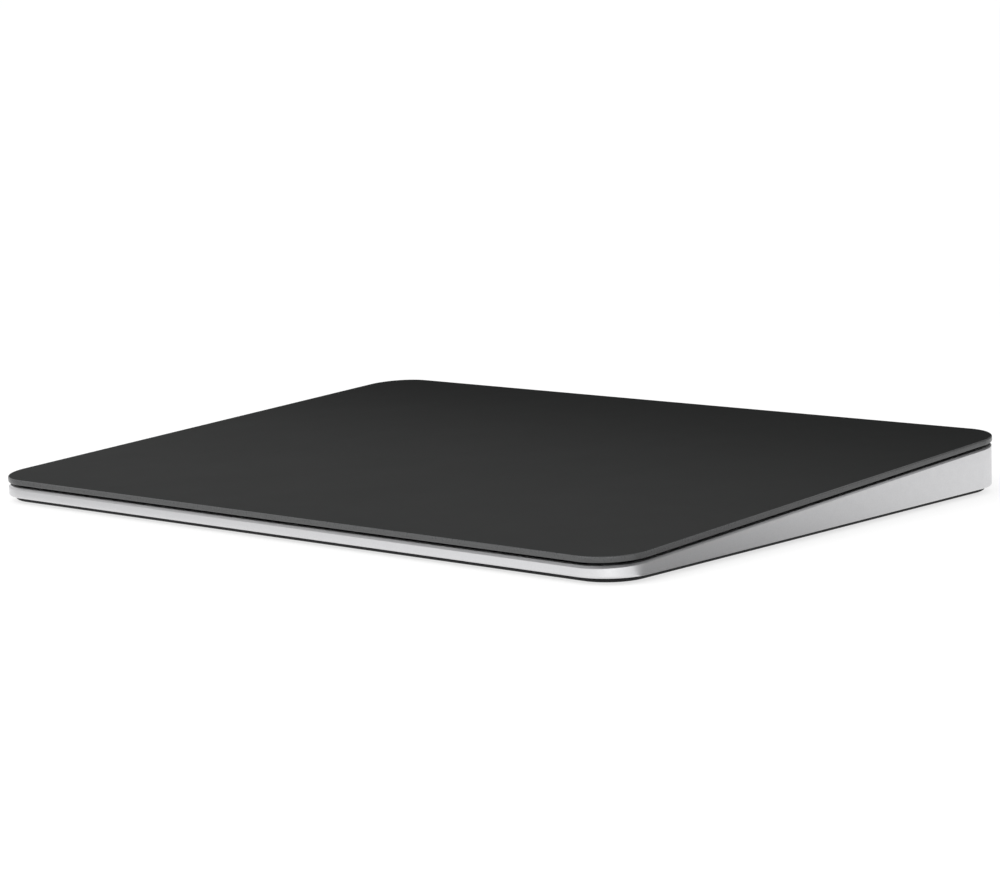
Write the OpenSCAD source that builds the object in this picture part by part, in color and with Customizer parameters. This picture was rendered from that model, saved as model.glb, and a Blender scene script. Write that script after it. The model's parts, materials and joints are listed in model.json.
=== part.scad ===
// Wedge-shaped wireless trackpad: a floating glass touch plate on four force-sensing
// flexures, a haptic drive, two battery cells and a rear board in an aluminium tub.
// Origin: centre of the footprint on the surface it stands on. +Y is the rear, +Z is up.

/* [Envelope] */
// Overall width, left to right
body_w = 160; // [150:1:180]
// Overall depth, front to rear
body_d = 114.9; // [114:0.1:130]
// Height of the touch surface at the front edge
front_h = 4.9; // [4.8:0.1:6]
// Height of the touch surface at the rear edge
rear_h = 10.9; // [10.6:0.1:13]
// Corner radius seen from above
corner_r = 8.6; // [7:0.1:12]

/* [Touch plate] */
// Thickness of the glass
glass_t = 1.1; // [0.9:0.05:1.2]
// Radius of the glass's polished edges
glass_edge_r = 0.25; // [0.1:0.05:0.4]
// Open gap between the glass and the housing rim
glass_float = 0.55; // [0.3:0.05:0.6]
// How far the glass stands out past the housing walls
glass_overhang = 0.1; // [0:0.05:0.5]
// Thickness of the adhesive film under the glass
adhesive_t = 0.1; // [0.05:0.05:0.2]
// Thickness of the touch sensor board
sensor_t = 0.6; // [0.4:0.1:0.8]
// Distance from the glass's edge to the sensor board's edge
sensor_inset = 2.4; // [2:0.1:4]
// Thickness of the steel stiffener sheet
stiffener_t = 0.3; // [0.2:0.05:0.4]
// Width of the stiffener's outer band and cross bars
stiffener_band = 15; // [12:0.5:18]

/* [Housing] */
// Thickness of the side walls
wall_t = 1.3; // [1:0.1:1.6]
// Thickness of the floor
floor_t = 0.8; // [0.6:0.05:0.9]
// Chamfer round the top rim
rim_chamfer = 0.3; // [0.2:0.05:0.6]
// Rounding of the lower outer edge
skirt_r = 0.4; // [0.2:0.05:0.6]
// Height of the floor's stiffening ribs
rib_h = 0.3; // [0.2:0.05:0.4]
// Thickness of the floor's stiffening ribs
rib_t = 0.8; // [0.5:0.1:1.2]

/* [Base and feet] */
// Thickness of the base cover
base_t = 0.9; // [0.6:0.01:1]
// Distance from the housing's edge to the base cover's edge
base_inset = 1.2; // [1:0.1:3]
// Diameter of a rubber foot
foot_d = 12; // [9:0.5:16]
// How far a foot stands below the base cover
foot_proud = 0.33; // [0.25:0.01:0.8]
// Depth of the pocket that a foot sits in
foot_pocket = 0.3; // [0.2:0.02:0.34]
// Distance from the glass's side edge to a foot's centre
foot_side = 15; // [12:0.5:20]
// Distance from the glass's front or rear edge to a foot's centre
foot_end = 13; // [11.5:0.5:18]

/* [Force sensing] */
// Thickness of a flexure leaf
leaf_t = 0.4; // [0.3:0.05:0.5]
// Length of a flexure leaf
leaf_l = 24; // [20:1:28]
// Width of a flexure leaf
leaf_w = 9; // [8:0.5:10]
// Length of the leaf's clamped end
leaf_clamp = 8; // [7:0.5:9]
// Thickness of a gel pad
gel_t = 0.5; // [0.45:0.05:0.6]
// How far a full press pushes the touch plate down
press_travel = 0.2; // [0.1:0.05:0.25]
// Distance from the glass's side edge to the outer end of a leaf
leaf_side = 8; // [6:0.5:10]
// Distance from the glass's front edge to a front leaf's middle
leaf_front = 27; // [25:0.5:30]
// Distance from the glass's rear edge to a rear leaf's middle
leaf_rear = 19; // [18:0.5:19.5]

/* [Haptic drive] */
// Spacing of the coils
coil_pitch = 9.5; // [8.5:0.5:10]
// Height of the steel core
core_h = 1.2; // [1:0.1:1.4]
// Width of a pole
pole_w = 4; // [3:0.5:5]
// Length of a pole
pole_l = 10; // [8:0.5:12]
// Thickness of a coil's winding
coil_t = 0.7; // [0.5:0.1:0.8]
// Air gap between the poles and the moving armature
air_gap = 0.4; // [0.3:0.05:0.6]
// Gap between the drive's rear ear and the rear board
haptic_gap = 1.05; // [0.5:0.05:3]

/* [Battery] */
// Width of a cell
cell_w = 46; // [40:1:48]
// Depth of a cell
cell_d = 44; // [38:1:45]
// Thickness of a cell
cell_t = 2.2; // [1.8:0.1:2.4]
// Gap between the cells' guard boards and the rear flexures' posts
post_gap = 1.3; // [0.5:0.1:3]
// Gap between a cell and the housing's side wall
cell_gap = 2; // [1:0.5:6]
// Thickness of the cells' mounting tape
tape_t = 0.15; // [0.1:0.05:0.2]

/* [Rear board] */
// Depth of the main board
board_d = 10; // [9:0.5:10.5]
// Thickness of the main board
board_t = 0.8; // [0.6:0.1:1]
// Height of the board's standoffs above the floor
standoff_h = 1.25; // [1:0.05:1.6]
// Left end of the board, from the middle
board_left = 24; // [22:1:28]
// Gap between the board and the rear wall
board_gap = 0.9; // [0.8:0.05:1.2]

/* [Charging socket] */
// Width of the socket's mouth
socket_w = 8.34; // [8.2:0.02:8.5]
// Height of the socket's mouth
socket_h = 2.56; // [2.5:0.02:2.6]
// Thickness of the socket's shell
socket_wall = 0.3; // [0.2:0.05:0.4]
// Depth of the socket
socket_d = 7.2; // [6.5:0.1:8]
// Clearance round the socket in the rear wall
socket_fit = 0.12; // [0.05:0.01:0.3]

/* [Power switch] */
// Distance of the switch from the middle
switch_x = 48; // [44:1:52]
// Length of the sliding knob
knob_w = 4.6; // [4:0.1:6]
// Height of the sliding knob
knob_h = 2.2; // [1.8:0.1:2.4]
// Travel from off to on
switch_travel = 3; // [2:0.1:3.5]
// Clearance round the knob in its slot
knob_fit = 0.3; // [0.2:0.01:0.35]
// How far the knob stands out of the rear wall
knob_proud = 0.12; // [0:0.01:0.18]

/* [Fasteners] */
// Radius of a screw's shank
screw_r = 0.7; // [0.6:0.05:0.8]
// Radius of a screw's head
screw_head_r = 1.5; // [1.3:0.05:1.6]
// Height of a screw's head
screw_head_h = 0.4; // [0.3:0.05:0.5]
// Radial clearance of a screw in a drilled hole
screw_fit = 0.15; // [0.1:0.05:0.2]

/* [Hidden] */
$fn = 48;
// Lengths that carry a cut or a trimmed block past the part's faces
tall = 4 * rear_h;
skin = 1;

// The touch surface's slope, and the sizes that follow from it
tilt = atan((rear_h - front_h) / body_d);
mid_h = (front_h + rear_h) / 2;
slope_d = body_d / cos(tilt);

// Heights of the base, the housing and its floor above the desk
housing_z = foot_proud + base_t;
floor_z = housing_z + floor_t;
root_z = housing_z + floor_t / 2;
rib_pitch = 22;

// Outline of the housing and of the hollow in it
house_w = body_w - 2 * glass_overhang;
house_d = body_d - 2 * glass_overhang;
house_r = corner_r - glass_overhang;
hollow_w = house_w - 2 * wall_t;
hollow_d = house_d - 2 * wall_t;
hollow_r = house_r - wall_t;
rear_wall_out = house_d / 2;
rear_wall_in = hollow_d / 2;
board_rear = rear_wall_in - board_gap;
board_front = board_rear - board_d;

// Depths below the touch surface, measured square to it
rim_w = -(glass_t + glass_float);
sensor_w = -(glass_t + adhesive_t);
stiffener_w = sensor_w - sensor_t;
plate_w = stiffener_w - stiffener_t;
leaf_top = plate_w - gel_t;
leaf_low = leaf_top - leaf_t;

// Outline of the sensor board and the stiffener's windows
sensor_wd = body_w - 2 * sensor_inset;
sensor_dp = slope_d - 2 * sensor_inset;
sensor_r = corner_r - sensor_inset;
stiffener_inset = 1;
stiffener_wd = sensor_wd - 2 * stiffener_inset;
stiffener_dp = sensor_dp - 2 * stiffener_inset;

// Flexures: leaf centres, in the sloping plane
leaf_x = body_w / 2 - leaf_side - leaf_l / 2;
leaf_front_y = -slope_d / 2 + leaf_front;
leaf_rear_y = slope_d / 2 - leaf_rear;
leaf_neck = 1.2;
leaf_slot_w = 3;
gel_d = 6;
gel_x = leaf_x - leaf_l / 2 + gel_d / 2 + 0.5;
gauge_t = 0.1;
gauge_l = 5;
gauge_root = 4.5;
gauge_edge = 0.2;
leaf_holes = leaf_w - 4.2;
post_screw_l = 0.6;
flat_head_h = gel_t - press_travel - 0.1;

// Haptic drive, in the sloping plane
coil_count = 4;
haptic_clear = 0.5;
coil_gap = 0.1;
coil_h = core_h + 2 * (coil_t + coil_gap);
core_w = plate_w - haptic_clear - coil_h / 2;
core_low = core_w - core_h / 2;
spine_x = -9;
spine_w = 3;
ear_l = 5;
haptic_l = coil_count * coil_pitch;
haptic_y = board_front - haptic_gap - ear_l - haptic_l / 2;
pole_tip = spine_x + spine_w + pole_l;
armature_t = 1.5;
armature_x = pole_tip + air_gap;
armature_lip = 0.2;
bracket_t = 0.5;
bracket_flange = 6;

// Windows in the stiffener, between the gel pads and in front of the haptic drive
window_cols = 3;
window_bar = 8;
window_w = (2 * (gel_x - gel_d) - (window_cols - 1) * window_bar) / window_cols;
window_front = -stiffener_dp / 2 + stiffener_band;
window_rear = haptic_y - haptic_l / 2 - ear_l;
window_d = window_rear - window_front;
window_y = (window_rear + window_front) / 2;
window_r = 3;
chip_gap = 12;

// Battery cells
guard_d = 2.4;
guard_gap = 0.3;
guard_h = 1.4;
cell_x = hollow_w / 2 - cell_gap - cell_w / 2;
cell_z = floor_z + tape_t;
cell_rear = leaf_rear_y * cos(tilt) - leaf_w / 2 - post_gap - guard_d - guard_gap;
cell_front = cell_rear - cell_d;
cell_r = 2;
tape_w = 6;
tape_margin = 2;
guard_w = cell_w - 2;
lead_w = 5;
lead_t = 0.2;
lead_x = cell_x - guard_w / 2 + lead_w / 2 + 1;

// Rear board and what stands on it
board_z = floor_z + standoff_h;
board_top = board_z + board_t;
switch_margin = 8;
board_right = switch_x + switch_margin;
shell_w = socket_w + 2 * socket_wall;
shell_h = socket_h + 2 * socket_wall;
port_z = board_top + shell_h / 2;
port_front = rear_wall_out - socket_d;
tongue_w = 6.7;
tongue_h = 0.7;
tongue_l = 4.4;
standoff_r = 1.8;
board_holes = [-board_left + 2.2, board_right - 2.2];
board_hole_y = board_front + 2.2;
shield_x = 24;
shield_w = 16;
shield_d = 7;
shield_h = 1.6;
shield_t = 0.2;
radio_w = 6;
radio_d = 5;
radio_h = 0.8;
charger_x = 11;
charger_w = 3;
charger_h = 0.7;
chip_edge = 2.5;
passive_x = -12;
passive_pitch = 1.6;
passive_w = 1;
passive_d = 0.6;
passive_h = 0.5;

// Power switch
slot_w = knob_w + switch_travel + 2 * knob_fit;
slot_h = knob_h + 2 * knob_fit;
slot_x = switch_x;
knob_x = slot_x - switch_travel / 2;
flange_t = 0.5;
flange_gap = 0.1;
flange_y = rear_wall_in - flange_gap - flange_t;
flange_w = knob_w + 2 * switch_travel + 2.4;
flange_h = slot_h + 1;
stem_w = 1.4;
stem_h = 1;
switch_w = 9;
switch_d = 3.2;
switch_h = shell_h;
switch_front = board_rear - switch_d - 1.2;
stem_l = 1;
marker_t = 0.05;

// Ribbon between the moving sensor board and the rear board
plug_x = -40;
plug_w = 8;
plug_d = 6;
plug_h = 1;
plug_y = board_rear - board_d / 2;
ribbon_t = 0.12;
ribbon_w = 5;
ribbon_steps = 12;
latch_side = 6.5;
latch_x = -board_left + latch_side;
latch_w = 5;
latch_h = 1.6;
latch_slot = 0.7;
latch_bite = 2;
latch_cheek = 0.8;
latch_fit = 0.3;

// Antenna
antenna_w = 22;
antenna_d = 5;
antenna_gap = 1.5;
antenna_side = 21;
antenna_edge = 0.5;
antenna_rim = 1;
antenna_pocket = 2.8;
antenna_arm = 1;
antenna_notches = 3;
antenna_x = -body_w / 2 + antenna_side + antenna_w / 2;
antenna_t = 0.1;
antenna_y = rear_wall_in - antenna_edge - antenna_d / 2;
cable_r = 0.45;

// Feet and the screws hidden above them
foot_x = body_w / 2 - foot_side;
foot_front_y = -body_d / 2 + foot_end;
foot_rear_y = body_d / 2 - foot_end;
FEET = [[-foot_x, foot_front_y], [foot_x, foot_front_y], [-foot_x, foot_rear_y], [foot_x, foot_rear_y]];
boss_r = 2.2;
boss_h = 0.8;
head_slope = base_t - foot_pocket;
head_gap = 0.03;

// Depth below the touch surface of a point at height z and distance y from the middle
function depth_at(y, z) = (z - mid_h - y * tan(tilt)) * cos(tilt);

// Places its children on the sloping touch surface, with +Z square to it
module sloping() {
    translate([0, 0, mid_h]) rotate([tilt, 0, 0]) children();
}

// Keeps what lies below a plane that is parallel to the touch surface
module below_slope(depth) {
    intersection() {
        children();
        sloping() translate([-body_w, -body_d, depth - tall]) cube([2 * body_w, 2 * body_d, tall]);
    }
}

// Rectangle with true round corners
module round_rect(w, d, r) {
    square([w - 2 * r, d], center = true);
    square([w, d - 2 * r], center = true);
    for (sx = [-1, 1], sy = [-1, 1]) translate([sx * (w / 2 - r), sy * (d / 2 - r)]) circle(r);
}

// Slot outline with round ends, long side along X
module stadium(w, h) {
    square([w - h, h], center = true);
    for (s = [-1, 1]) translate([s * (w - h) / 2, 0]) circle(h / 2);
}

// Plate whose edge has the profile given by its child, drawn outwards from x = 0 at the corner's centre
module edged_plate(w, d, r, low, high) {
    translate([0, 0, low]) linear_extrude(high - low) square([w - 2 * r, d - 2 * r], center = true);
    for (sx = [-1, 1], sy = [-1, 1])
        translate([sx * (w / 2 - r), sy * (d / 2 - r), 0])
            rotate([0, 0, atan2(sy, sx) - 45]) rotate_extrude(angle = 90) children();
    for (side = [0:3]) {
        along = side % 2 == 0 ? d - 2 * r : w - 2 * r;
        out = side % 2 == 0 ? w / 2 - r : d / 2 - r;
        rotate([0, 0, 90 * side]) translate([out, along / 2, 0]) rotate([90, 0, 0])
            linear_extrude(along) children();
    }
}

// Tube or bar along Y, from front to rear, with a stadium section
module rear_bar(w, h, x, z, front, rear) {
    translate([x, rear, z]) rotate([90, 0, 0]) linear_extrude(rear - front) stadium(w, h);
}

// Pan-head screw pointing down, with its head's underside at z = 0
module pan_screw(length) {
    cylinder(r = screw_head_r, h = screw_head_h);
    translate([0, 0, -length]) cylinder(r = screw_r, h = length);
    difference() {
        translate([0, 0, screw_head_h]) cylinder(r = screw_head_r - 0.3, h = 0.1);
        translate([0, 0, screw_head_h - 0.2]) cylinder(r = 0.55, h = 1, $fn = 6);
    }
}

// Housing

module housing_outline() {
    translate([0, housing_z + skirt_r]) square([house_r, tall]);
    translate([0, housing_z]) square([house_r - skirt_r, tall]);
    translate([house_r - skirt_r, housing_z + skirt_r]) circle(skirt_r);
}

module rim_outline() {
    reach = 3;
    polygon([
        [0, -tall], [house_r + reach, -tall], [house_r + reach, rim_w - rim_chamfer - reach],
        [house_r - rim_chamfer, rim_w], [0, rim_w]
    ]);
}

module housing_block() {
    intersection() {
        edged_plate(house_w, house_d, house_r, housing_z, housing_z + skirt_r + tall) housing_outline();
        sloping() edged_plate(house_w, house_d / cos(tilt), house_r, -tall, rim_w) rim_outline();
    }
}

// Posts that carry the clamped ends of the flexures
module flexure_posts() {
    for (sx = [-1, 1], y = [leaf_front_y, leaf_rear_y])
        below_slope(leaf_low)
            translate([sx * (leaf_x + (leaf_l - leaf_clamp) / 2), y * cos(tilt), root_z])
                linear_extrude(tall) square([leaf_clamp, leaf_w], center = true);
}

// Sloping pads under the haptic drive's spine and ears
module haptic_pads() {
    pad_l = haptic_l + 2 * ear_l;
    below_slope(core_low)
        translate([spine_x, haptic_y - pad_l / 2, root_z]) cube([spine_w, pad_l, tall]);
}

module floor_ribs() {
    front = -hollow_d / 2;
    rib_back = cell_front - 2;
    for (k = [-2:2])
        translate([k * rib_pitch - rib_t / 2, front, root_z])
            cube([rib_t, rib_back - front, floor_z - root_z + rib_h]);
}

// Round bosses for the base screws and standoffs for the rear board
module bosses() {
    for (p = FEET) translate([p[0], p[1], root_z]) cylinder(r = boss_r, h = floor_z - root_z + boss_h);
    for (x = board_holes) translate([x, board_hole_y, root_z]) cylinder(r = standoff_r, h = board_z - root_z);
}

module housing() {
    socket_cut_w = shell_w + 2 * socket_fit;
    socket_cut_h = shell_h + 2 * socket_fit;
    color("silver") difference() {
        union() {
            difference() {
                housing_block();
                translate([0, 0, floor_z]) linear_extrude(tall) round_rect(hollow_w, hollow_d, hollow_r);
            }
            flexure_posts();
            haptic_pads();
            floor_ribs();
            bosses();
        }
        rear_bar(socket_cut_w, socket_cut_h, 0, port_z, rear_wall_in - skin, rear_wall_out + skin);
        rear_bar(slot_w, slot_h, slot_x, port_z, rear_wall_in - skin, rear_wall_out + skin);
        for (p = FEET) translate([p[0], p[1], housing_z - skin]) cylinder(r = screw_r, h = tall);
        for (x = board_holes) translate([x, board_hole_y, floor_z]) cylinder(r = screw_r, h = tall);
        sloping() flexure_hole_places() translate([0, 0, leaf_low - post_screw_l]) cylinder(r = screw_r, h = tall);
        sloping() haptic_hole_places() translate([0, 0, core_low - post_screw_l]) cylinder(r = screw_r, h = tall);
    }
}

// Base cover and feet

module base_cover() {
    color([0.09, 0.09, 0.1]) difference() {
        translate([0, 0, foot_proud]) linear_extrude(base_t)
            round_rect(house_w - 2 * base_inset, house_d - 2 * base_inset, house_r - base_inset);
        for (p = FEET) translate([p[0], p[1], foot_proud]) {
            translate([0, 0, -skin]) cylinder(d = foot_d, h = skin + foot_pocket);
            translate([0, 0, foot_pocket])
                cylinder(r1 = screw_head_r + head_gap, r2 = screw_r + screw_fit, h = head_slope);
        }
    }
}

module base_screws() {
    length = floor_t + boss_h;
    color("dimgray") for (p = FEET) translate([p[0], p[1], foot_proud + foot_pocket]) {
        cylinder(r1 = screw_head_r, r2 = screw_r, h = head_slope);
        translate([0, 0, head_slope - head_gap]) cylinder(r = screw_r, h = length + head_gap);
    }
}

module foot(place) {
    edge = 0.2;
    color([0.12, 0.12, 0.12]) translate([FEET[place][0], FEET[place][1], 0]) {
        cylinder(d1 = foot_d - 2 * edge, d2 = foot_d, h = edge);
        translate([0, 0, edge]) cylinder(d = foot_d, h = foot_proud + foot_pocket - edge);
    }
}

// Touch plate

module glass_edge() {
    r = glass_edge_r;
    translate([0, -glass_t]) square([corner_r - r, glass_t]);
    translate([0, -glass_t + r]) square([corner_r, glass_t - 2 * r]);
    for (y = [-r, -glass_t + r]) translate([corner_r - r, y]) circle(r);
}

module touch_glass() {
    color([0.07, 0.07, 0.07]) sloping()
        edged_plate(body_w, slope_d, corner_r, -glass_t, 0) glass_edge();
}

module glass_adhesive() {
    color([0.05, 0.05, 0.05]) sloping() translate([0, 0, sensor_w])
        linear_extrude(adhesive_t) round_rect(sensor_wd, sensor_dp, sensor_r);
}

module sensor_board() {
    color([0.04, 0.04, 0.04]) sloping() translate([0, 0, stiffener_w])
        linear_extrude(sensor_t) round_rect(sensor_wd, sensor_dp, sensor_r);
}

module window_places() {
    for (k = [0 : window_cols - 1])
        translate([(k - (window_cols - 1) / 2) * (window_w + window_bar), window_y, 0]) children();
}

module plate_stiffener() {
    color("lightgray") sloping() translate([0, 0, plate_w]) linear_extrude(stiffener_t) difference() {
        round_rect(stiffener_wd, stiffener_dp, sensor_r - stiffener_inset);
        window_places() round_rect(window_w, window_d, window_r);
        translate([plug_x, plug_y]) square([plug_w + 1, plug_d + 1], center = true);
    }
}

module sensor_chips() {
    chip_h = 0.7;
    chip_w = 7;
    color([0.1, 0.1, 0.1]) sloping() window_places() translate([0, 0, stiffener_w - chip_h])
        linear_extrude(chip_h) for (s = [-1, 1]) translate([s * chip_gap / 2, 0]) square(chip_w, center = true);
}

module sensor_plug() {
    color("ivory") sloping() translate([plug_x, plug_y, stiffener_w - plug_h])
        linear_extrude(plug_h) square([plug_w, plug_d], center = true);
}

module armature() {
    color("gray") sloping() translate([armature_x, haptic_y - haptic_l / 2, core_low - armature_lip])
        cube([armature_t, haptic_l, core_h + 2 * armature_lip]);
}

module armature_bracket() {
    x = armature_x + armature_t;
    low = core_low - armature_lip;
    color("lightgray") sloping() translate([x, haptic_y - haptic_l / 2, 0]) {
        translate([0, 0, low]) cube([bracket_t, haptic_l, plate_w - low]);
        translate([0, 0, plate_w - bracket_t]) cube([bracket_flange, haptic_l, bracket_t]);
    }
}

// Force sensing

module gel_pad(sx, y) {
    color([0.75, 0.75, 0.8]) sloping() translate([sx * gel_x, y, leaf_top]) cylinder(d = gel_d, h = gel_t);
}

module flexure_hole_places() {
    for (sx = [-1, 1], y = [leaf_front_y, leaf_rear_y], s = [-1, 1])
        translate([sx * (leaf_x + (leaf_l - leaf_clamp) / 2), y + s * leaf_holes / 2, 0]) children();
}

// Leaf spring: a clamped end with two holes, a slotted beam and a round-ended tip
module flexure(sx, y) {
    beam = leaf_l - leaf_clamp - gel_d - 1;
    color("lightsteelblue") sloping() translate([0, 0, leaf_low]) linear_extrude(leaf_t) difference() {
        translate([sx * leaf_x, y]) scale([sx, 1]) {
            translate([(leaf_l - leaf_clamp) / 2, 0]) square([leaf_clamp, leaf_w], center = true);
            difference() {
                translate([-leaf_l / 2 + leaf_w / 2, -leaf_w / 2 + leaf_neck])
                    square([leaf_l - leaf_clamp - leaf_w / 2 + 0.5, leaf_w - 2 * leaf_neck]);
                translate([leaf_l / 2 - leaf_clamp - beam / 2 - 0.5, 0])
                    square([beam - 1, leaf_slot_w], center = true);
            }
            translate([-leaf_l / 2 + leaf_w / 2, 0]) circle(leaf_w / 2);
        }
        flexure_hole_places() circle(screw_r + screw_fit);
    }
}

// Strain gauge films on the two beams of each leaf
module strain_gauges() {
    beam_w = (leaf_w - 2 * leaf_neck - leaf_slot_w) / 2;
    gauge_x = leaf_x + leaf_l / 2 - leaf_clamp - gauge_root;
    color([0.85, 0.6, 0.2]) sloping()
        for (sx = [-1, 1], y = [leaf_front_y, leaf_rear_y], s = [-1, 1])
            translate([sx * gauge_x, y + s * (leaf_slot_w + beam_w) / 2, leaf_top])
                linear_extrude(gauge_t) square([gauge_l, beam_w - 2 * gauge_edge], center = true);
}

module flexure_screws() {
    color("dimgray") sloping() flexure_hole_places()
        translate([0, 0, leaf_top]) flat_screw(leaf_t + post_screw_l);
}

// Flat-head screw, low enough for the space that a full press leaves over a flexure
module flat_screw(length) {
    cylinder(r = screw_head_r, h = flat_head_h);
    translate([0, 0, -length]) cylinder(r = screw_r, h = length);
}

// Haptic drive

module haptic_hole_places() {
    for (s = [-1, 1]) translate([spine_x + spine_w / 2, haptic_y + s * (haptic_l + ear_l) / 2, 0]) children();
}

module pole_places() {
    for (k = [0 : coil_count - 1]) translate([0, haptic_y + (k - (coil_count - 1) / 2) * coil_pitch, 0]) children();
}

// Comb-shaped steel core with an ear at each end
module haptic_core() {
    color("slategray") sloping() translate([0, 0, core_low]) linear_extrude(core_h) difference() {
        union() {
            translate([spine_x, haptic_y - haptic_l / 2 - ear_l]) square([spine_w, haptic_l + 2 * ear_l]);
            pole_places() translate([spine_x + spine_w - 0.1, -pole_w / 2]) square([pole_l + 0.1, pole_w]);
        }
        haptic_hole_places() circle(screw_r + screw_fit);
    }
}

module haptic_coil(k) {
    inner_w = pole_w + 2 * coil_gap;
    inner_h = core_h + 2 * coil_gap;
    length = pole_l - 1.5;
    color([0.72, 0.4, 0.2]) sloping()
        translate([spine_x + spine_w + 0.5, haptic_y + (k - (coil_count + 1) / 2) * coil_pitch, core_w])
            rotate([90, 0, 90]) linear_extrude(length) difference() {
                round_rect(inner_w + 2 * coil_t, inner_h + 2 * coil_t, coil_t);
                square([inner_w, inner_h], center = true);
            }
}

module haptic_screws() {
    color("dimgray") sloping() haptic_hole_places()
        translate([0, 0, core_low + core_h]) pan_screw(core_h + post_screw_l);
}

// Battery

module battery(sx) {
    seal = 1.2;
    color([0.2, 0.2, 0.22]) translate([sx * cell_x, (cell_front + cell_rear) / 2, cell_z]) {
        linear_extrude(cell_t) round_rect(cell_w - 2 * seal, cell_d, cell_r);
        translate([0, 0, cell_t / 2]) linear_extrude(0.3) round_rect(cell_w, cell_d - 1, 1);
    }
}

module battery_tapes() {
    color("white") for (sx = [-1, 1], s = [-1, 1])
        translate([sx * cell_x + s * cell_w / 4 - tape_w / 2, cell_front + tape_margin, floor_z])
            cube([tape_w, cell_d - 2 * tape_margin, tape_t]);
}

module battery_guard_board() {
    color([0.05, 0.25, 0.15]) for (sx = [-1, 1])
        translate([sx * cell_x - guard_w / 2, cell_rear + guard_gap, floor_z]) cube([guard_w, guard_d, guard_h]);
}

// Flat lead that rises from the right cell's guard board to the main board's front edge
module battery_lead() {
    start = cell_rear + guard_gap + guard_d;
    rise = board_z - lead_t - floor_z - guard_h / 2;
    run = board_front + board_d / 3 - start;
    steps = 12;
    low = [for (k = [0:steps]) let (s = k / steps)
        [start + run * s, floor_z + guard_h / 2 + rise * (1 - cos(180 * s)) / 2]];
    high = [for (k = [steps:-1:0]) [low[k][0], low[k][1] + lead_t]];
    color([0.8, 0.55, 0.15]) translate([lead_x - lead_w / 2, 0, 0]) rotate([90, 0, 90])
        linear_extrude(lead_w) polygon(concat(low, high));
}

// Rear board

module main_board() {
    color([0.05, 0.22, 0.14]) translate([0, 0, board_z]) linear_extrude(board_t) difference() {
        translate([-board_left, board_front]) square([board_left + board_right, board_d]);
        for (x = board_holes) translate([x, board_hole_y]) circle(screw_r + screw_fit);
    }
}

module board_shield() {
    color("lightgray") translate([shield_x, board_rear - board_d / 2, board_top]) difference() {
        linear_extrude(shield_h) round_rect(shield_w, shield_d, 0.6);
        translate([0, 0, -skin]) linear_extrude(skin + shield_h - shield_t)
            round_rect(shield_w - 2 * shield_t, shield_d - 2 * shield_t, 0.4);
    }
}

module board_chips() {
    color([0.1, 0.1, 0.1]) {
        translate([shield_x, board_rear - board_d / 2, board_top])
            linear_extrude(radio_h) square([radio_w, radio_d], center = true);
        for (k = [0:2]) translate([passive_x + passive_pitch * k, board_front + chip_edge, board_top])
            linear_extrude(passive_h) square([passive_w, passive_d], center = true);
        translate([charger_x, board_front + chip_edge, board_top])
            linear_extrude(charger_h) square(charger_w, center = true);
    }
}

module board_screws() {
    color("dimgray") for (x = board_holes) translate([x, board_hole_y, board_top]) pan_screw(board_t + standoff_h);
}

module ribbon_latch() {
    latch_d = ribbon_w + 2 * latch_cheek;
    slot_d = ribbon_w + 2 * latch_fit;
    color("ivory") translate([latch_x - latch_w / 2, plug_y, board_top]) difference() {
        translate([0, -latch_d / 2, 0]) cube([latch_w, latch_d, latch_h]);
        translate([-skin, -slot_d / 2, (latch_h - latch_slot) / 2])
            cube([skin + latch_bite + latch_fit, slot_d, latch_slot]);
    }
}

// Flat ribbon that eases down from the sensor plug into its latch on the main board
module sensor_ribbon() {
    y = plug_y * cos(tilt);
    start = stiffener_w - plug_h;
    end = depth_at(y, board_top + latch_h / 2) + ribbon_t / 2;
    reach = latch_x - latch_w / 2 + latch_bite;
    bend_end = latch_x - latch_w / 2 - 1;
    bend_start = plug_x + plug_w / 2;
    ease = [for (k = [0:ribbon_steps]) let (s = k / ribbon_steps)
        [bend_start + (bend_end - bend_start) * s, start + (end - start) * (1 - cos(180 * s)) / 2]];
    high = concat([[plug_x - plug_w / 2, start]], ease, [[reach, end]]);
    low = [for (k = [len(high) - 1 : -1 : 0]) [high[k][0], high[k][1] - ribbon_t]];
    color([0.8, 0.5, 0.15]) sloping() translate([0, plug_y + ribbon_w / 2, 0]) rotate([90, 0, 0])
        linear_extrude(ribbon_w) polygon(concat(high, low));
}

// Charging socket

module charge_socket() {
    back = 0.5;
    color("silver") difference() {
        rear_bar(shell_w, shell_h, 0, port_z, port_front, rear_wall_out);
        rear_bar(socket_w, socket_h, 0, port_z, port_front + back, rear_wall_out + skin);
    }
}

module socket_tongue() {
    back = 0.5;
    color([0.08, 0.08, 0.08]) translate([-tongue_w / 2, port_front + back, port_z - tongue_h / 2])
        cube([tongue_w, tongue_l, tongue_h]);
}

// Power switch

module power_switch() {
    track_w = switch_travel + stem_w + 2 * knob_fit;
    track_d = stem_l + knob_fit;
    track_h = stem_h + 2 * knob_fit;
    color([0.15, 0.15, 0.15]) difference() {
        translate([slot_x - switch_w / 2, switch_front, board_top]) cube([switch_w, switch_d, switch_h]);
        translate([slot_x - track_w / 2, switch_front + switch_d - track_d, port_z - track_h / 2])
            cube([track_w, track_d + skin, track_h]);
    }
}

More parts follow.
